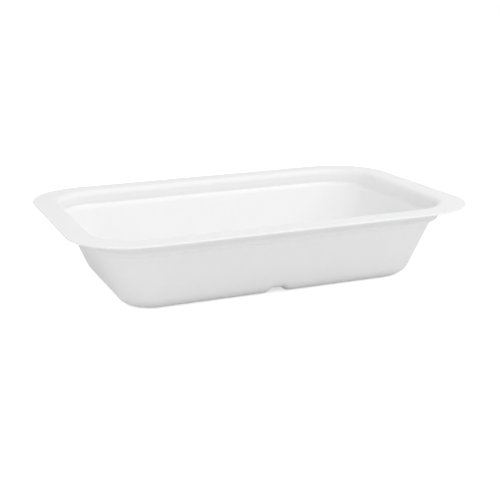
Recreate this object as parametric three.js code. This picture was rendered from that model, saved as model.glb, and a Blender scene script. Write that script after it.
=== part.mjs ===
import * as THREE from 'three';

// A rectangular food tray pressed from fibre pulp in one piece: one skin of even thickness.
// Sizes are in millimetres. The long side runs along X, the mouth faces up along Z, and the
// origin is at the middle of the base, on the surface that the tray stands on.

// Whole tray
const trayLength = 222;
const trayWidth = 154.5;
const trayHeight = 42.5;
const wall = 1;

// Flange: a flat border, narrower at the two ends, with the rims of its trimmed edge rounded
const sideFlange = 11.9;
const endFlange = 10.6;
const flangeCorner = 35.3;
const edgeRadius = 0.3;

// Collar: an upright band from the flange down to a narrow sloped ledge where stacked trays catch
const lipRadius = 2.4;
const collarDrop = 3.9;
const collarDraft = 0.5;
const collarCorner = 25.3;
const ledgeFlat = 1.2;
const ledgeSlope = 20;
const ledgeRadius = 0.8;

// Wall and floor: the wall leans in from the ledge and turns into the flat floor
const wallLean = 22;
const floorRadius = 9.6;
const floorCorner = 10.6;

// Channel: a shallow flat-topped groove across the base, which fades out up both long walls
const channelWidth = 14;
const channelFlat = 5;
const channelDepth = 2.2;
const channelRise = 8;

// Fineness of the curves
const cornerSteps = 8;
const channelSteps = 4;
const edgeSteps = 2;
const wallSteps = 3;
const degreesPerStep = 24;

// A pen that draws the section of the skin's middle surface. X is the distance in from the
// flange's outer edge and Y the height. Each station keeps the way to the upper face and how
// far away that face is.
class SectionPen {
  constructor(at) {
    this.at = at.clone();
    this.heading = 0;
    this.stations = [];
  }

  mark(half = wall / 2) {
    const up = new THREE.Vector2(-Math.sin(this.heading), Math.cos(this.heading));
    this.stations.push({ at: this.at.clone(), up, half });
  }

  // The outer edge, where both faces round over towards each other
  edge(radius) {
    for (let step = 0; step <= edgeSteps; step += 1) {
      const angle = (Math.PI / 2) * (step / edgeSteps);
      this.at.x = radius * (1 - Math.cos(angle));
      this.mark(wall / 2 - radius * (1 - Math.sin(angle)));
    }
  }

  forward(distance, steps = 1) {
    const step = new THREE.Vector2(Math.cos(this.heading), Math.sin(this.heading));
    step.multiplyScalar(distance / steps);
    for (let count = 0; count < steps; count += 1) {
      this.at.add(step);
      this.mark();
    }
  }

  // A bend names its tightest radius, which lies on the face inside the bend
  bend(innerRadius, degrees) {
    const side = Math.sign(degrees) * (innerRadius + wall / 2);
    const centre = this.at.clone().addScaledVector(this.stations.at(-1).up, side);
    const steps = Math.max(2, Math.round(Math.abs(degrees) / degreesPerStep));
    const turn = THREE.MathUtils.degToRad(degrees / steps);
    for (let count = 0; count < steps; count += 1) {
      this.at.rotateAround(centre, turn);
      this.heading += turn;
      this.mark();
    }
  }
}

// Stations of the section from the flange's outer edge to the flat of the floor
function drawSection() {
  const pen = new SectionPen(new THREE.Vector2(0, trayHeight - wall / 2));
  pen.edge(edgeRadius);
  pen.forward(sideFlange - edgeRadius);
  pen.bend(lipRadius, collarDraft - 90);
  pen.forward(collarDrop);
  pen.bend(ledgeRadius, 90 - collarDraft - ledgeSlope);
  pen.forward(ledgeFlat);
  pen.bend(ledgeRadius, wallLean + ledgeSlope - 90);
  const lean = THREE.MathUtils.degToRad(wallLean);
  const turnHeight = (floorRadius + wall / 2) * (1 - Math.sin(lean));
  pen.forward((pen.at.y - wall / 2 - turnHeight) / Math.cos(lean), wallSteps);
  pen.bend(floorRadius, 90 - wallLean);
  return pen.stations;
}

const section = drawSection();
const collarInset = sideFlange + lipRadius + wall / 2;
const floorInset = section.at(-1).at.x;

// Radius of the middle surface's corners in plan, at a distance in from the flange's edge
function cornerRadius(inset) {
  const { mapLinear } = THREE.MathUtils;
  return inset < collarInset
    ? mapLinear(inset, 0, collarInset, flangeCorner, collarCorner)
    : mapLinear(inset, collarInset, floorInset, collarCorner, floorCorner);
}

// How much longer than an even inset the rings inside the narrower end flanges are, at each end
function endReach(inset) {
  return (sideFlange - endFlange) * Math.min(inset / sideFlange, 1);
}

// How far the channel lifts the skin at a distance along the tray and a height
function channelLift(x, height) {
  const { smoothstep } = THREE.MathUtils;
  const across = smoothstep(x, channelFlat / 2, channelWidth / 2);
  const up = smoothstep(height, wall / 2, channelRise);
  return channelDepth * (1 - across) * (1 - up);
}

// A quarter of a ring on the upper (1) or lower (-1) face: the corner in plan, then the side
// over half of the channel
function quarterRing({ at, up, half }, face) {
  const offset = half * face;
  const radius = cornerRadius(at.x);
  const point = (x, y, lift) => {
    const shift = offset + lift;
    return new THREE.Vector3(x, y - up.x * lift, at.y + up.y * shift);
  };
  const reach = radius - up.x * offset;
  const points = [];
  for (let step = 0; step <= cornerSteps; step += 1) {
    const angle = (Math.PI / 2) * (step / cornerSteps);
    const x = trayLength / 2 - at.x + endReach(at.x) - radius + reach * Math.cos(angle);
    const y = trayWidth / 2 - at.x - radius + reach * Math.sin(angle);
    points.push(point(x, y, 0));
  }
  const side = points[cornerSteps].y;
  for (let step = 0; step <= channelSteps; step += 1) {
    const x = THREE.MathUtils.lerp(channelWidth / 2, channelFlat / 2, step / channelSteps);
    points.push(point(x, side, channelLift(x, at.y)));
  }
  points.push(point(0, side, channelLift(0, at.y)));
  return points;
}

// A closed ring round the tray, anticlockwise from above, starting at the middle of the +X end.
// The point that faces another across the X axis has the same place counted from the other end.
function fullRing(station, face) {
  const quarter = quarterRing(station, face);
  const mirrored = (points, x, y) => points.map((p) => new THREE.Vector3(p.x * x, p.y * y, p.z));
  const back = quarter.slice(0, -1).reverse();
  const far = [...quarter, ...mirrored(back, -1, 1)];
  return [...far, ...mirrored(far, 1, -1).reverse()];
}

// One closed skin: the lower face from the floor out to the edge, then the upper face back in
function trayGeometry() {
  const lower = section.toReversed().map((station) => fullRing(station, -1));
  const upper = section.map((station) => fullRing(station, 1));
  const rings = [...lower, ...upper];
  const count = rings[0].length;
  const faces = [];
  const quad = (a, b, c, d) => faces.push(a, b, c, a, c, d);
  for (let ring = 0; ring < rings.length - 1; ring += 1) {
    for (let step = 0; step < count; step += 1) {
      const next = (step + 1) % count;
      const inner = (ring + 1) * count;
      quad(ring * count + step, ring * count + next, inner + next, inner + step);
    }
  }
  const top = (rings.length - 1) * count;
  for (let step = 0; step < count / 2 - 1; step += 1) {
    const across = count - 1 - step;
    quad(step, across, across - 1, step + 1);
    quad(top + step, top + step + 1, top + across - 1, top + across);
  }
  const geometry = new THREE.BufferGeometry().setFromPoints(rings.flat());
  geometry.setIndex(faces);
  geometry.computeVertexNormals();
  return geometry;
}

const pulp = new THREE.MeshStandardMaterial({ color: 0xf0f0f0, roughness: 0.85, metalness: 0 });
const tray = new THREE.Mesh(trayGeometry(), pulp);
tray.name = 'tray';

const group = new THREE.Group();
group.add(tray);

export default group;
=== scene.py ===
"""A molded fiber food tray: one skin of pressed white pulp on a plain white studio floor."""

import logging
import math
from dataclasses import dataclass, field
from enum import Enum
from typing import Sequence

import bpy
from mathutils import Matrix, Vector


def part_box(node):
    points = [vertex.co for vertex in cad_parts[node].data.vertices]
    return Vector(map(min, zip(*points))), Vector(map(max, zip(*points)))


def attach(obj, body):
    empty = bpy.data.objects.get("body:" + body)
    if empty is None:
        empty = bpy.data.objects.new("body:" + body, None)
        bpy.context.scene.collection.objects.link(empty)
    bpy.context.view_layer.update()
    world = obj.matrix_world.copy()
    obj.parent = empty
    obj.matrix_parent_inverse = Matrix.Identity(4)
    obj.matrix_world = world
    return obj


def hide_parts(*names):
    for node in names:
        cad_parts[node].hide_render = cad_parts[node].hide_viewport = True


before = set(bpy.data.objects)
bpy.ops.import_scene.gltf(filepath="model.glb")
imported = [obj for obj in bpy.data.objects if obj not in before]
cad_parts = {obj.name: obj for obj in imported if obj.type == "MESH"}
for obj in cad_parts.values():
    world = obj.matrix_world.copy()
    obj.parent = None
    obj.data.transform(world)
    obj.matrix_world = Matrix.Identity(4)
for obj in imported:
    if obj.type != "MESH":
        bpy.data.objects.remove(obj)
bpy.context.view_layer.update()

LOG = logging.getLogger("food_tray")
MM = 0.001
RIGHT_ANGLE = 90.0

Tree = bpy.types.NodeTree
Socket = bpy.types.NodeSocket
Value = float | Socket
Content = Value | bool | bpy.types.Material


class Face(Enum):
    """The two faces of the pulp skin, as the side of its middle surface."""

    LOWER = -1.0
    UPPER = 1.0


@dataclass(frozen=True)
class Station:
    """One place on the section of the skin's middle surface.

    Attributes:
        inset: distance in from the flange's outer edge, in metres.
        height: height above the floor that the tray stands on, in metres.
        up_inset: inset part of the unit direction towards the upper face.
        up_height: height part of the same direction.
        half: distance to either face.
    """

    inset: float
    height: float
    up_inset: float
    up_height: float
    half: float


@dataclass
class SectionPen:
    """A pen that draws the section of the skin's middle surface, in metres."""

    wall: float
    height: float
    inset: float = 0.0
    heading: float = 0.0
    stations: list[Station] = field(default_factory=list)

    def mark(self, cut: float = 0.0) -> None:
        """Keeps the pen's place and the direction to the upper face.

        Args:
            cut: how much thinner than the wall each half of the skin is here.
        """
        up = (-math.sin(self.heading), math.cos(self.heading))
        self.stations.append(Station(self.inset, self.height, *up, self.wall / 2 - cut))

    def edge(self, radius: float, steps: int) -> None:
        """Draws the outer edge, where both faces round over towards each other.

        Args:
            radius: radius of the two rounded rims.
            steps: how many equal steps each is marked in.
        """
        for step in range(steps + 1):
            angle = math.pi / 2 * step / steps
            self.inset = radius * (1 - math.cos(angle))
            self.mark(radius * (1 - math.sin(angle)))

    def forward(self, distance: float, steps: int) -> None:
        """Draws a straight stretch.

        Args:
            distance: its length.
            steps: how many equal steps it is marked in.
        """
        for _ in range(steps):
            self.inset += distance / steps * math.cos(self.heading)
            self.height += distance / steps * math.sin(self.heading)
            self.mark()

    def bend(self, inner_radius: float, degrees: float, steps: int) -> None:
        """Draws a round bend.

        Args:
            inner_radius: radius of the face that lies inside the bend.
            degrees: the turn, positive to the left.
            steps: how many equal steps it is marked in.
        """
        radius = math.copysign(inner_radius + self.wall / 2, degrees)
        centre_inset = self.inset - radius * math.sin(self.heading)
        centre_height = self.height + radius * math.cos(self.heading)
        for _ in range(steps):
            self.heading += math.radians(degrees) / steps
            self.inset = centre_inset + radius * math.sin(self.heading)
            self.height = centre_height - radius * math.cos(self.heading)
            self.mark()


@dataclass(frozen=True)
class RingPoint:
    """One place on the tray's outline in plan, ready for any section station.

    Attributes:
        run: share of the straight half-lengths, along X and Y.
        arc: share of the corner radius, along X and Y.
        fixed: distance along X that no other size moves, in metres.
    """

    run: tuple[float, float]
    arc: tuple[float, float]
    fixed: float = 0.0

    def mirrored(self, x: float, y: float) -> "RingPoint":
        """Gives the same point in another quarter of the plan.

        Args:
            x: 1 or -1, the side along X.
            y: 1 or -1, the side along Y.

        Returns:
            The mirrored point.
        """
        run = (self.run[0] * x, self.run[1] * y)
        arc = (self.arc[0] * x, self.arc[1] * y)
        return RingPoint(run, arc, self.fixed * x)


@dataclass(frozen=True)
class Channel:
    """The shallow groove across the middle of the base.

    Attributes:
        width: its whole width along X, in metres.
        flat: width of its flat top.
        depth: how far it lifts the skin.
        rise: height on the long walls at which it has faded out.
    """

    width: float = 14 * MM
    flat: float = 5 * MM
    depth: float = 2.2 * MM
    rise: float = 8 * MM


@dataclass(frozen=True)
class SectionSteps:
    """How many steps each stretch of the section is drawn in."""

    edge: int = 5
    flange: int = 8
    lip: int = 12
    collar: int = 4
    bead: int = 3
    ledge: int = 1
    ledge_bend: int = 8
    shoulder_bend: int = 10
    wall: int = 16
    floor_bend: int = 14
    floor: int = 24


@dataclass(frozen=True)
class RingSteps:
    """How many steps each stretch of a quarter of the plan is drawn in."""

    end: int = 9
    corner: int = 20
    side: int = 14
    channel: int = 12


@dataclass(frozen=True)
class Mottle:
    """An uneven pattern in the pulp.

    Attributes:
        size: size of its coarsest features, in metres.
        octaves: how many finer sizes it has.
        fineness: how strong each finer size is against the one before.
        relief: how high it stands, as a share of the finish's relief.
    """

    size: float
    octaves: float
    fineness: float
    relief: float


@dataclass(frozen=True)
class Fibres:
    """The short fibres that lie tangled in the skin.

    Attributes:
        size: length of a fibre, in metres.
        wander: how far fibres stray from a straight line, in fibre lengths.
        waves: how many waves of straying there are in a fibre length.
        octaves: how many finer waves lie on those.
        thickness: thickness of a fibre, in fibre lengths.
        relief: how high they stand, as a share of the finish's relief.
    """

    size: float = 1.6 * MM
    wander: float = 2.0
    waves: float = 0.4
    octaves: float = 2.0
    thickness: float = 0.12
    relief: float = 0.012


@dataclass(frozen=True)
class PulpFinish:
    """Pressed white pulp: a soft matte skin with faint clouds, short fibres and a fine grain.

    Attributes:
        name: the material's name.
        base_colour: the pulp's grey, halfway through the clouds.
        cloud_depth: how far the grey changes from the darkest cloud to the lightest.
        fibre_depth: how much lighter the fibres are.
        roughness: the skin's roughness, halfway through the clouds.
        roughness_swing: how far the clouds change it either way.
        gloss: strength of the mirrored light.
        sheen: strength of the soft sheen seen at a flat angle.
        sheen_roughness: roughness of that sheen.
        relief_height: height of a full relief, in metres.
        relief_strength: how strongly the relief bends the light.
        clouds: the broad faint pattern.
        grain: the finest pattern.
        fibres: the tangled fibres.
    """

    name: str = "pressed_pulp"
    base_colour: float = 0.86
    cloud_depth: float = 0.02
    fibre_depth: float = 0.015
    roughness: float = 0.78
    roughness_swing: float = 0.08
    gloss: float = 0.3
    sheen: float = 0.06
    sheen_roughness: float = 0.5
    relief_height: float = 1.0 * MM
    relief_strength: float = 0.35
    clouds: Mottle = Mottle(size=14 * MM, octaves=3.0, fineness=0.5, relief=0.05)
    grain: Mottle = Mottle(size=0.45 * MM, octaves=4.0, fineness=0.6, relief=0.03)
    fibres: Fibres = Fibres()

    def build(self) -> bpy.types.Material:
        """Builds the node material.

        Returns:
            The finished material, with its patterns on Object coordinates.
        """
        material = bpy.data.materials.new(self.name)
        material.use_nodes = True
        tree = material.node_tree
        tree.nodes.clear()
        output = tree.nodes.new("ShaderNodeOutputMaterial")
        shader = tree.nodes.new("ShaderNodeBsdfPrincipled")
        tree.links.new(shader.outputs["BSDF"], output.inputs["Surface"])
        place = tree.nodes.new("ShaderNodeTexCoord").outputs["Object"]
        clouds = self._mottle(tree, place, self.clouds)
        fibres = self._tangle(tree, place)
        grain = self._mottle(tree, place, self.grain)
        low, high = self.roughness - self.roughness_swing, self.roughness + self.roughness_swing
        tree.links.new(self._colour(tree, clouds, fibres), shader.inputs["Base Color"])
        tree.links.new(self._scaled(tree, clouds, low, high), shader.inputs["Roughness"])
        tree.links.new(self._relief(tree, clouds, fibres, grain), shader.inputs["Normal"])
        shader.inputs["Specular IOR Level"].default_value = self.gloss
        shader.inputs["Sheen Weight"].default_value = self.sheen
        shader.inputs["Sheen Roughness"].default_value = self.sheen_roughness
        return material

    def _mottle(self, tree: Tree, place: Socket, mottle: Mottle) -> Socket:
        """Adds an uneven pattern.

        Args:
            tree: the tree to add to.
            place: where each point of the surface lies.
            mottle: the pattern's sizes.

        Returns:
            The pattern's value, from 0 to 1.
        """
        noise = tree.nodes.new("ShaderNodeTexNoise")
        noise.inputs["Scale"].default_value = 1 / mottle.size
        noise.inputs["Detail"].default_value = mottle.octaves
        noise.inputs["Roughness"].default_value = mottle.fineness
        tree.links.new(place, noise.inputs["Vector"])
        return noise.outputs["Fac"]

    def _tangle(self, tree: Tree, place: Socket) -> Socket:
        """Adds short tangled fibres: the thin edges between stretched, wandering cells.

        Args:
            tree: the tree to add to.
            place: where each point of the surface lies.

        Returns:
            A value that is 1 along the middle of a fibre and 0 between fibres.
        """
        wander = tree.nodes.new("ShaderNodeTexNoise")
        wander.inputs["Scale"].default_value = self.fibres.waves / self.fibres.size
        wander.inputs["Detail"].default_value = self.fibres.octaves
        shift = tree.nodes.new("ShaderNodeVectorMath")
        shift.operation = "MULTIPLY_ADD"
        shift.inputs[1].default_value = (self.fibres.size * self.fibres.wander,) * 3
        cells = tree.nodes.new("ShaderNodeTexVoronoi")
        cells.feature = "DISTANCE_TO_EDGE"
        cells.inputs["Scale"].default_value = 1 / self.fibres.size
        cells.inputs["Randomness"].default_value = 1.0
        thin = tree.nodes.new("ShaderNodeMapRange")
        thin.inputs["From Max"].default_value = self.fibres.thickness
        thin.inputs["To Min"].default_value = 1.0
        thin.inputs["To Max"].default_value = 0.0
        tree.links.new(place, wander.inputs["Vector"])
        tree.links.new(wander.outputs["Color"], shift.inputs[0])
        tree.links.new(place, shift.inputs[2])
        tree.links.new(shift.outputs["Vector"], cells.inputs["Vector"])
        tree.links.new(cells.outputs["Distance"], thin.inputs["Value"])
        return thin.outputs["Result"]

    def _scaled(self, tree: Tree, value: Socket, low: float, high: float) -> Socket:
        """Maps a value from 0..1 to a range.

        Args:
            tree: the tree to add to.
            value: the value to map.
            low: what 0 becomes.
            high: what 1 becomes.

        Returns:
            The mapped value.
        """
        scaled = tree.nodes.new("ShaderNodeMapRange")
        scaled.inputs["To Min"].default_value = low
        scaled.inputs["To Max"].default_value = high
        tree.links.new(value, scaled.inputs["Value"])
        return scaled.outputs["Result"]

    def _sum(self, tree: Tree, *values: Socket) -> Socket:
        """Adds values together.

        Args:
            tree: the tree to add to.
            values: the values in order.

        Returns:
            Their sum.
        """
        total = values[0]
        for value in values[1:]:
            adder = tree.nodes.new("ShaderNodeMath")
            adder.operation = "ADD"
            tree.links.new(total, adder.inputs[0])
            tree.links.new(value, adder.inputs[1])
            total = adder.outputs[0]
        return total

    def _colour(self, tree: Tree, clouds: Socket, fibres: Socket) -> Socket:
        """Adds the near-white colour, a little uneven in the clouds and lighter on the fibres.

        Args:
            tree: the tree to add to.
            clouds: the clouds' pattern.
            fibres: the fibres' pattern.

        Returns:
            The colour.
        """
        half = self.cloud_depth / 2
        cloud = self._scaled(tree, clouds, self.base_colour - half, self.base_colour + half)
        fibre = self._scaled(tree, fibres, 0.0, self.fibre_depth)
        grey = self._sum(tree, cloud, fibre)
        colour = tree.nodes.new("ShaderNodeCombineColor")
        for channel in ("Red", "Green", "Blue"):
            tree.links.new(grey, colour.inputs[channel])
        return colour.outputs["Color"]

    def _relief(self, tree: Tree, clouds: Socket, fibres: Socket, grain: Socket) -> Socket:
        """Adds the relief of the skin.

        Args:
            tree: the tree to add to.
            clouds: the clouds' pattern.
            fibres: the fibres' pattern.
            grain: the grain's pattern.

        Returns:
            The bent normal.
        """
        height = self._sum(
            tree,
            self._scaled(tree, clouds, 0.0, self.clouds.relief),
            self._scaled(tree, fibres, 0.0, self.fibres.relief),
            self._scaled(tree, grain, 0.0, self.grain.relief),
        )
        bump = tree.nodes.new("ShaderNodeBump")
        bump.inputs["Strength"].default_value = self.relief_strength
        bump.inputs["Distance"].default_value = self.relief_height
        tree.links.new(height, bump.inputs["Height"])
        return bump.outputs["Normal"]


class FieldTree:
    """A Geometry Nodes tree built from short calls, one for each kind of node."""

    def __init__(self, name: str, sizes: dict[str, float]) -> None:
        """Makes the tree with a geometry input and one named input for each size.

        Args:
            name: the tree's name.
            sizes: input names with their default values.
        """
        self.tree = bpy.data.node_groups.new(name, "GeometryNodeTree")
        self.tree.is_modifier = True
        plan = self.tree.interface
        plan.new_socket("Geometry", in_out="INPUT", socket_type="NodeSocketGeometry")
        self.sockets: dict[str, str] = {}
        for label, value in sizes.items():
            socket = plan.new_socket(label, in_out="INPUT", socket_type="NodeSocketFloat")
            socket.default_value = value
            self.sockets[label] = socket.identifier
        plan.new_socket("Geometry", in_out="OUTPUT", socket_type="NodeSocketGeometry")
        self.entry = self.tree.nodes.new("NodeGroupInput")
        self.exit = self.tree.nodes.new("NodeGroupOutput")

    def size(self, label: str) -> Socket:
        """Gives the socket of a named size."""
        return self.entry.outputs[label]

    def feed(self, value: Content, socket: Socket) -> None:
        """Links a socket or sets a constant on another socket.

        Args:
            value: what goes in.
            socket: where it goes.
        """
        if isinstance(value, Socket):
            self.tree.links.new(value, socket)
        else:
            socket.default_value = value

    def math(self, operation: str, *values: Value) -> Socket:
        """Adds a Math node.

        Args:
            operation: the node's operation.
            values: its operands in order.

        Returns:
            Its result.
        """
        node = self.tree.nodes.new("ShaderNodeMath")
        node.operation = operation
        for value, socket in zip(values, node.inputs):
            self.feed(value, socket)
        return node.outputs[0]

    def ramp(self, value: Value, low: Value, high: Value, to_low: Value, to_high: Value,
             smooth: bool = False) -> Socket:
        """Adds a clamped Map Range node.

        Args:
            value: the value to map.
            low: where the ramp starts.
            high: where the ramp ends.
            to_low: the result at its start.
            to_high: the result at its end.
            smooth: whether it eases in and out.

        Returns:
            Its result.
        """
        node = self.tree.nodes.new("ShaderNodeMapRange")
        node.interpolation_type = "SMOOTHSTEP" if smooth else "LINEAR"
        for item, socket in zip((value, low, high, to_low, to_high), node.inputs):
            self.feed(item, socket)
        return node.outputs["Result"]

    def parts(self, vector: Socket) -> Sequence[Socket]:
        """Splits a vector.

        Args:
            vector: the vector.

        Returns:
            Its three parts.
        """
        node = self.tree.nodes.new("ShaderNodeSeparateXYZ")
        self.feed(vector, node.inputs[0])
        return node.outputs[0], node.outputs[1], node.outputs[2]

    def vector(self, x: Value, y: Value, z: Value) -> Socket:
        """Joins three values into a vector.

        Args:
            x: its first part.
            y: its second part.
            z: its third part.

        Returns:
            The vector.
        """
        node = self.tree.nodes.new("ShaderNodeCombineXYZ")
        for value, socket in zip((x, y, z), node.inputs):
            self.feed(value, socket)
        return node.outputs[0]

    def attribute(self, name: str) -> Socket:
        """Reads a vector attribute of the mesh.

        Args:
            name: the attribute's name.

        Returns:
            Its value at each point.
        """
        node = self.tree.nodes.new("GeometryNodeInputNamedAttribute")
        node.data_type = "FLOAT_VECTOR"
        node.inputs["Name"].default_value = name
        return next(out for out in node.outputs if out.enabled and out.name == "Attribute")

    def step(self, kind: str, geometry: Socket, **inputs: Content) -> Socket:
        """Adds a node that takes a geometry and gives one back.

        Args:
            kind: the node's type name.
            geometry: the geometry that goes in.
            inputs: its other inputs by name, with an underscore for each space.

        Returns:
            The geometry that comes out.
        """
        node = self.tree.nodes.new(kind)
        self.feed(geometry, node.inputs[0])
        for name, value in inputs.items():
            self.feed(value, node.inputs[name.replace("_", " ")])
        return node.outputs[0]


@dataclass
class PressedTray:
    """The whole tray, swept round its plan from one drawn section.

    The section is drawn in Python, and the Geometry Nodes tree carries it round the plan, gives it
    its two faces, lifts the channel and lets the rim sag a little, as dried pulp does. Lengths are
    in metres and angles in degrees.
    """

    low: Vector
    high: Vector
    wall: float = 1.0 * MM
    side_flange: float = 11.9 * MM
    end_flange: float = 10.6 * MM
    flange_corner: float = 35.3 * MM
    edge_radius: float = 0.3 * MM
    lip_radius: float = 2.4 * MM
    collar_drop: float = 3.6 * MM
    collar_draft: float = 0.5
    bead_height: float = 0.9 * MM
    bead_flare: float = 13.0
    collar_corner: float = 25.3 * MM
    ledge_flat: float = 1.3 * MM
    ledge_slope: float = 20.0
    ledge_radius: float = 0.8 * MM
    shoulder_radius: float = 2.0 * MM
    wall_lean: float = 22.0
    floor_radius: float = 9.6 * MM
    floor_corner: float = 10.6 * MM
    warp: float = 0.18 * MM
    warp_wave: float = 60.0 * MM
    warp_range: tuple[float, float] = (0.25, 0.75)
    merge_gap: float = 0.005 * MM
    channel: Channel = Channel()
    finish: PulpFinish = PulpFinish()
    section_steps: SectionSteps = SectionSteps()
    ring_steps: RingSteps = RingSteps()

    @property
    def length(self) -> float:
        """Overall length along X."""
        return self.high.x - self.low.x

    @property
    def width(self) -> float:
        """Overall width along Y."""
        return self.high.y - self.low.y

    @property
    def height(self) -> float:
        """Overall height."""
        return self.high.z - self.low.z

    @property
    def collar_inset(self) -> float:
        """Distance of the collar's middle surface in from the flange's edge."""
        return self.side_flange + self.lip_radius + self.wall / 2

    @property
    def floor_inset(self) -> float:
        """Distance of the flat floor in from the flange's edge."""
        return self.drawn().inset

    def drawn(self) -> SectionPen:
        """Draws the section from the flange's outer edge to the flat of the floor.

        Returns:
            The pen, at the floor's edge.
        """
        steps = self.section_steps
        pen = SectionPen(self.wall, self.height - self.wall / 2)
        pen.edge(self.edge_radius, steps.edge)
        pen.forward(self.side_flange - self.edge_radius, steps.flange)
        pen.bend(self.lip_radius, self.collar_draft - RIGHT_ANGLE, steps.lip)
        pen.forward(self.collar_drop - self.bead_height, steps.collar)
        pen.bend(self.ledge_radius, -self.bead_flare, steps.bead)
        pen.forward(self.bead_height, steps.bead)
        ledge_turn = RIGHT_ANGLE - self.collar_draft + self.bead_flare - self.ledge_slope
        pen.bend(self.ledge_radius, ledge_turn, steps.ledge_bend)
        pen.forward(self.ledge_flat, steps.ledge)
        shoulder_turn = self.wall_lean + self.ledge_slope - RIGHT_ANGLE
        pen.bend(self.shoulder_radius, shoulder_turn, steps.shoulder_bend)
        lean = math.radians(self.wall_lean)
        turn_height = (self.floor_radius + self.wall / 2) * (1 - math.sin(lean))
        pen.forward((pen.height - self.wall / 2 - turn_height) / math.cos(lean), steps.wall)
        pen.bend(self.floor_radius, RIGHT_ANGLE - self.wall_lean, steps.floor_bend)
        return pen

    def section(self) -> list[Station]:
        """Draws the whole section, on to the middle of the floor.

        Returns:
            The stations of the middle surface in order.
        """
        pen = self.drawn()
        pen.forward(self.width / 2 - pen.inset, self.section_steps.floor)
        return pen.stations

    def ring(self) -> list[RingPoint]:
        """Lays out the plan's points anticlockwise from the middle of the +X end.

        Returns:
            The points of one whole ring.
        """
        steps = self.ring_steps
        half_channel = self.channel.width / 2
        quarter = [RingPoint((1, step / steps.end), (1, 0)) for step in range(steps.end)]
        for step in range(steps.corner + 1):
            angle = math.pi / 2 * step / steps.corner
            quarter.append(RingPoint((1, 1), (math.cos(angle), math.sin(angle))))
        for step in range(1, steps.side + 1):
            share = 1 - step / steps.side
            quarter.append(RingPoint((share, 1), (0, 1), half_channel * (1 - share)))
        for step in range(1, steps.channel + 1):
            quarter.append(RingPoint((0, 1), (0, 1), half_channel * (1 - step / steps.channel)))
        far = quarter + [point.mirrored(-1, 1) for point in reversed(quarter[:-1])]
        return far + [point.mirrored(1, -1) for point in reversed(far[1:-1])]

    def net(self) -> bpy.types.Object:
        """Makes the unshaped net of the skin, with the section and plan values on its points.

        Returns:
            The net's object, whose points all still lie at the origin.
        """
        stations = self.section()
        rows = [(station, Face.LOWER) for station in reversed(stations)]
        rows += [(station, Face.UPPER) for station in stations]
        ring = self.ring()
        count = len(ring)
        faces = [
            (row * count + step, row * count + (step + 1) % count,
             (row + 1) * count + (step + 1) % count, (row + 1) * count + step)
            for row in range(len(rows) - 1)
            for step in range(count)
        ]
        mesh = bpy.data.meshes.new("tray_net")
        mesh.from_pydata([(0.0, 0.0, 0.0)] * (count * len(rows)), [], faces)
        values = {
            "station": [(s.inset, s.height, s.half * face.value) for s, face in rows for _ in ring],
            "up": [(s.up_inset, s.up_height, 0.0) for s, _ in rows for _ in ring],
            "run": [(*point.run, point.fixed) for _ in rows for point in ring],
            "arc": [(*point.arc, 0.0) for _ in rows for point in ring],
        }
        for name, vectors in values.items():
            attribute = mesh.attributes.new(name, "FLOAT_VECTOR", "POINT")
            attribute.data.foreach_set("vector", [part for vector in vectors for part in vector])
        net = bpy.data.objects.new("pulp_tray", mesh)
        bpy.context.scene.collection.objects.link(net)
        return net

    def sizes(self) -> dict[str, float]:
        """Gives the named inputs of the sweep.

        Returns:
            Each input's name with its size.
        """
        return {
            "Length": self.length,
            "Width": self.width,
            "Height": self.height,
            "Wall": self.wall,
            "Flange Corner": self.flange_corner,
            "Collar Corner": self.collar_corner,
            "Floor Corner": self.floor_corner,
            "Collar Inset": self.collar_inset,
            "Floor Inset": self.floor_inset,
            "Side Flange": self.side_flange,
            "End Flange": self.end_flange,
            "Channel Width": self.channel.width,
            "Channel Flat": self.channel.flat,
            "Channel Depth": self.channel.depth,
            "Channel Rise": self.channel.rise,
            "Warp": self.warp,
        }

    def sweep(self, material: bpy.types.Material) -> FieldTree:
        """Builds the tree that carries the section round the plan.

        Args:
            material: the finish that the tree puts on.

        Returns:
            The tree with its named inputs.
        """
        nodes = FieldTree("tray_sweep", self.sizes())
        half_wall = nodes.math("DIVIDE", nodes.size("Wall"), 2.0)
        half_width = nodes.math("DIVIDE", nodes.size("Width"), 2.0)
        inset, height, offset = nodes.parts(nodes.attribute("station"))
        up_inset, up_height, _ = nodes.parts(nodes.attribute("up"))
        run_x, run_y, fixed = nodes.parts(nodes.attribute("run"))
        arc_x, arc_y, _ = nodes.parts(nodes.attribute("arc"))

        collar, floor = nodes.size("Collar Inset"), nodes.size("Floor Inset")
        outer, middle = nodes.size("Flange Corner"), nodes.size("Collar Corner")
        shrink = nodes.math("SUBTRACT", nodes.size("Floor Corner"), middle)
        close = nodes.math("MULTIPLY", nodes.size("Floor Corner"), -1.0)
        rim = nodes.ramp(inset, 0.0, collar, outer, middle)
        body = nodes.ramp(inset, collar, floor, 0.0, shrink)
        bed = nodes.ramp(inset, floor, half_width, 0.0, close)
        radius = nodes.math("ADD", nodes.math("ADD", rim, body), bed)
        reach = nodes.math("SUBTRACT", radius, nodes.math("MULTIPLY", up_inset, offset))
        taken = nodes.math("ADD", inset, radius)
        narrower = nodes.math("SUBTRACT", nodes.size("Side Flange"), nodes.size("End Flange"))
        end_reach = nodes.ramp(inset, 0.0, nodes.size("Side Flange"), 0.0, narrower)
        half_length = nodes.math("MULTIPLY_ADD", nodes.size("Length"), 0.5, end_reach)
        span_x = nodes.math("SUBTRACT", half_length, taken)
        span_y = nodes.math("SUBTRACT", half_width, taken)
        turned = nodes.math("MULTIPLY_ADD", arc_x, reach, fixed)
        x = nodes.math("MULTIPLY_ADD", run_x, span_x, turned)

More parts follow.
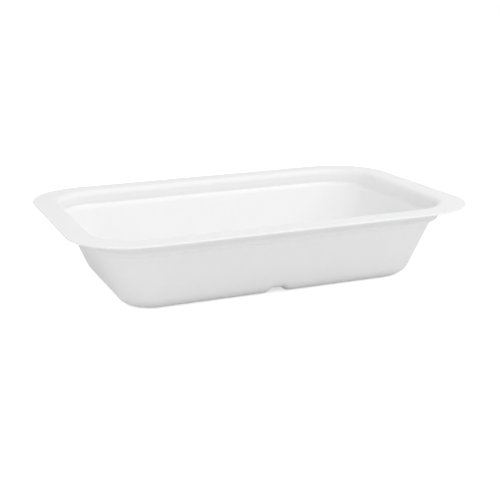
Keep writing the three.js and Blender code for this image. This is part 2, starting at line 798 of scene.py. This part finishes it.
        half_channel = nodes.math("DIVIDE", nodes.size("Channel Width"), 2.0)
        half_flat = nodes.math("DIVIDE", nodes.size("Channel Flat"), 2.0)
        crest = nodes.ramp(nodes.math("ABSOLUTE", x), half_flat, half_channel, 1.0, 0.0, True)
        rise, depth = nodes.size("Channel Rise"), nodes.size("Channel Depth")
        fade = nodes.ramp(height, half_wall, rise, depth, 0.0, True)
        lift = nodes.math("MULTIPLY", crest, fade)
        side = nodes.math("SIGN", arc_y)
        inward = nodes.math("MULTIPLY", nodes.math("MULTIPLY", up_inset, lift), side)
        y = nodes.math("MULTIPLY_ADD", run_y, span_y, nodes.math("MULTIPLY", arc_y, reach))
        y = nodes.math("SUBTRACT", y, inward)
        z = nodes.math("MULTIPLY_ADD", up_height, nodes.math("ADD", offset, lift), height)

        swell = self.warp_field(nodes, x, y, height)
        shaped = nodes.step("GeometryNodeSetPosition", nodes.entry.outputs["Geometry"],
                            Position=nodes.vector(x, y, nodes.math("ADD", z, swell)))
        merged = nodes.step("GeometryNodeMergeByDistance", shaped, Distance=self.merge_gap)
        smooth = nodes.step("GeometryNodeSetShadeSmooth", merged, Shade_Smooth=True)
        whole = nodes.step("GeometryNodeRealizeInstances", smooth)
        dressed = nodes.step("GeometryNodeSetMaterial", whole, Material=material)
        nodes.feed(dressed, nodes.exit.inputs["Geometry"])
        return nodes

    def warp_field(self, nodes: FieldTree, x: Value, y: Value, height: Value) -> Socket:
        """Adds the slight warp of the dried rim, which dies away towards the base.

        Args:
            nodes: the tree to add to.
            x: place along the tray.
            y: place across the tray.
            height: height of the middle surface.

        Returns:
            How far each point moves up.
        """
        noise = nodes.tree.nodes.new("ShaderNodeTexNoise")
        noise.noise_dimensions = "2D"
        noise.inputs["Scale"].default_value = 1 / self.warp_wave
        noise.inputs["Detail"].default_value = 0.0
        nodes.feed(nodes.vector(x, y, 0.0), noise.inputs["Vector"])
        wave = nodes.ramp(noise.outputs[0], *self.warp_range, -1.0, 0.0)
        weight = nodes.ramp(height, 0.0, nodes.size("Height"), 0.0, nodes.size("Warp"), True)
        return nodes.math("MULTIPLY", wave, weight)

    def build(self) -> bpy.types.Object:
        """Builds the dressed tray as one plain mesh in place of the plain solid.

        Returns:
            The finished piece.
        """
        piece = self.net()
        nodes = self.sweep(self.finish.build())
        modifier = piece.modifiers.new("sweep", "NODES")
        modifier.node_group = nodes.tree
        for label, value in self.sizes().items():
            modifier[nodes.sockets[label]] = value
        shaped = piece.evaluated_get(bpy.context.evaluated_depsgraph_get())
        mesh = bpy.data.meshes.new_from_object(shaped)
        piece.modifiers.clear()
        piece.data = mesh
        for name in ("station", "up", "run", "arc"):
            mesh.attributes.remove(mesh.attributes[name])
        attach(piece, "root")
        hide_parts("tray")
        return piece


def direction(azimuth: float, elevation: float) -> Vector:
    """Gives the direction from the tray to a camera or a lamp.

    Args:
        azimuth: degrees round from the front, positive to the right.
        elevation: degrees up from level.

    Returns:
        The unit direction.
    """
    azimuth, elevation = math.radians(azimuth), math.radians(elevation)
    return Vector((math.sin(azimuth) * math.cos(elevation),
                   -math.cos(azimuth) * math.cos(elevation), math.sin(elevation)))


@dataclass(frozen=True)
class PhotoCamera:
    """The camera at the photograph's viewing angle, placed about the middle of the tray's base.

    Attributes:
        azimuth: degrees round from the front, positive to the right.
        elevation: degrees up from level.
        roll: degrees that the camera is turned anticlockwise about its own axis.
        distance: metres from the tray's base, along the camera's axis.
        aim_right: metres that the base's middle lies to the right of the picture's middle.
        aim_up: metres that the base's middle lies above the picture's middle.
        lens: focal length in millimetres.
        sensor: width of the sensor in millimetres.
    """

    azimuth: float = -21.65
    elevation: float = 15.01
    roll: float = -0.916
    distance: float = 0.5892
    aim_right: float = -2.0 * MM
    aim_up: float = -12.45 * MM
    lens: float = 74.01
    sensor: float = 36.0

    def build(self) -> bpy.types.Object:
        """Places the camera and makes it the scene's.

        Returns:
            The camera object.
        """
        azimuth, roll = math.radians(self.azimuth), math.radians(self.roll)
        back = direction(self.azimuth, self.elevation)
        level_right = Vector((math.cos(azimuth), math.sin(azimuth), 0.0))
        level_up = back.cross(level_right)
        right = level_right * math.cos(roll) + level_up * math.sin(roll)
        up = back.cross(right)
        place = back * self.distance - right * self.aim_right - up * self.aim_up
        data = bpy.data.cameras.new("photo_camera")
        data.sensor_width = self.sensor
        data.lens = self.lens
        camera = bpy.data.objects.new("photo_camera", data)
        turn = Matrix((right, up, back)).transposed().to_4x4()
        camera.matrix_world = Matrix.Translation(place) @ turn
        bpy.context.scene.collection.objects.link(camera)
        bpy.context.scene.camera = camera
        return camera


class Lamp(Enum):
    """The soft lamps of the studio, by where they stand."""

    FRONT_HIGH = "front_high"
    FRONT_LOW = "front_low"
    RIGHT_HIGH = "right_high"
    RIGHT_LOW = "right_low"
    LEFT_HIGH = "left_high"
    LEFT_LOW = "left_low"


@dataclass(frozen=True)
class SoftBox:
    """One large square lamp that looks at the tray.

    Attributes:
        role: where it stands, which names it.
        azimuth: degrees round from the front, positive to the right.
        elevation: degrees up from level.
        power: its power in watts.
        distance: metres from the middle of the tray's base.
        size: length of its sides, in metres.
    """

    role: Lamp
    azimuth: float
    elevation: float
    power: float
    distance: float = 1.8
    size: float = 1.8

    def build(self) -> bpy.types.Object:
        """Places the lamp and turns it to the tray.

        Returns:
            The lamp object.
        """
        away = direction(self.azimuth, self.elevation)
        data = bpy.data.lights.new(f"{self.role.value}_softbox", "AREA")
        data.shape = "SQUARE"
        data.size = self.size
        data.energy = self.power
        lamp = bpy.data.objects.new(data.name, data)
        turn = away.to_track_quat("Z", "Y").to_matrix().to_4x4()
        lamp.matrix_world = Matrix.Translation(away * self.distance) @ turn
        bpy.context.scene.collection.objects.link(lamp)
        return lamp


@dataclass(frozen=True)
class Studio:
    """The plain white floor, the white room behind it and the lamps.

    Attributes:
        floor_size: length of the floor's sides, in metres.
        floor_gap: how far the floor lies below the tray, so that the two faces don't coincide.
        floor_colour: the floor's colour as the lamps light it.
        camera_lift: light added to the floor where it is seen, which makes it look white.
        room_light: how strongly the room lights the tray.
        lamps: the soft lamps.
    """

    floor_size: float = 40.0
    floor_gap: float = 0.02 * MM
    floor_colour: float = 0.85
    camera_lift: float = 0.6
    room_light: float = 0.48
    lamps: tuple[SoftBox, ...] = (
        SoftBox(Lamp.FRONT_HIGH, -10.0, 50.0, 7.5),
        SoftBox(Lamp.FRONT_LOW, -20.0, 2.0, 7.0),
        SoftBox(Lamp.RIGHT_HIGH, 70.0, 50.0, 12.3),
        SoftBox(Lamp.RIGHT_LOW, 60.0, 12.0, 3.4),
        SoftBox(Lamp.LEFT_HIGH, -80.0, 50.0, 3.6),
        SoftBox(Lamp.LEFT_LOW, -80.0, 12.0, 5.4),
    )

    def build(self) -> bpy.types.Object:
        """Builds the floor, the lamps and the world.

        Returns:
            The floor object.
        """
        scene = bpy.context.scene
        scene.view_settings.view_transform = "Standard"
        scene.world = self.world()
        for lamp in self.lamps:
            lamp.build()
        half, level = self.floor_size / 2, -self.floor_gap
        plan = ((-half, -half), (half, -half), (half, half), (-half, half))
        mesh = bpy.data.meshes.new("studio_floor")
        mesh.from_pydata([(x, y, level) for x, y in plan], [], [(0, 1, 2, 3)])
        floor = bpy.data.objects.new("studio_floor", mesh)
        mesh.materials.append(self.floor_finish())
        scene.collection.objects.link(floor)
        return floor

    def seen(self, tree: Tree) -> Socket:
        """Adds the test for rays that show the background: camera, mirror and clear ones.

        Args:
            tree: the tree to add to.

        Returns:
            1 for such a ray and 0 for any other.
        """
        rays = tree.nodes.new("ShaderNodeLightPath")
        total = rays.outputs["Is Camera Ray"]
        for name in ("Is Glossy Ray", "Is Transmission Ray"):
            joiner = tree.nodes.new("ShaderNodeMath")
            joiner.operation = "MAXIMUM"
            tree.links.new(total, joiner.inputs[0])
            tree.links.new(rays.outputs[name], joiner.inputs[1])
            total = joiner.outputs[0]
        return total

    def world(self) -> bpy.types.World:
        """Makes a room that looks white and lights the tray softly.

        Returns:
            The world.
        """
        world = bpy.data.worlds.new("white_room")
        world.use_nodes = True
        tree = world.node_tree
        tree.nodes.clear()
        output = tree.nodes.new("ShaderNodeOutputWorld")
        shown = tree.nodes.new("ShaderNodeBackground")
        lit = tree.nodes.new("ShaderNodeBackground")
        choose = tree.nodes.new("ShaderNodeMixShader")
        shown.inputs["Color"].default_value = (1.0, 1.0, 1.0, 1.0)
        lit.inputs["Color"].default_value = (1.0, 1.0, 1.0, 1.0)
        lit.inputs["Strength"].default_value = self.room_light
        tree.links.new(self.seen(tree), choose.inputs["Fac"])
        tree.links.new(lit.outputs[0], choose.inputs[1])
        tree.links.new(shown.outputs[0], choose.inputs[2])
        tree.links.new(choose.outputs[0], output.inputs["Surface"])
        return world

    def floor_finish(self) -> bpy.types.Material:
        """Makes a floor that looks white and still takes the tray's shadow.

        Returns:
            The floor's material.
        """
        material = bpy.data.materials.new("white_floor")
        material.use_nodes = True
        tree = material.node_tree
        tree.nodes.clear()
        output = tree.nodes.new("ShaderNodeOutputMaterial")
        card = tree.nodes.new("ShaderNodeBsdfDiffuse")
        glow = tree.nodes.new("ShaderNodeEmission")
        lift = tree.nodes.new("ShaderNodeMath")
        both = tree.nodes.new("ShaderNodeAddShader")
        card.inputs["Color"].default_value = (self.floor_colour,) * 3 + (1.0,)
        lift.operation = "MULTIPLY"
        lift.inputs[1].default_value = self.camera_lift
        tree.links.new(self.seen(tree), lift.inputs[0])
        tree.links.new(lift.outputs[0], glow.inputs["Strength"])
        tree.links.new(card.outputs[0], both.inputs[0])
        tree.links.new(glow.outputs[0], both.inputs[1])
        tree.links.new(both.outputs[0], output.inputs["Surface"])
        return material


def main() -> None:
    """Builds the camera, the tray and the studio."""
    logging.basicConfig(level=logging.INFO, format="%(name)s: %(message)s")
    camera = PhotoCamera().build()
    LOG.info("camera %s at %s", camera.name, tuple(round(v, 4) for v in camera.location))
    low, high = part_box("tray")
    tray = PressedTray(Vector(low), Vector(high)).build()
    LOG.info("%s with %d faces", tray.name, len(tray.data.polygons))
    floor = Studio().build()
    LOG.info("%s under the tray", floor.name)


if __name__ == "__main__":
    main()
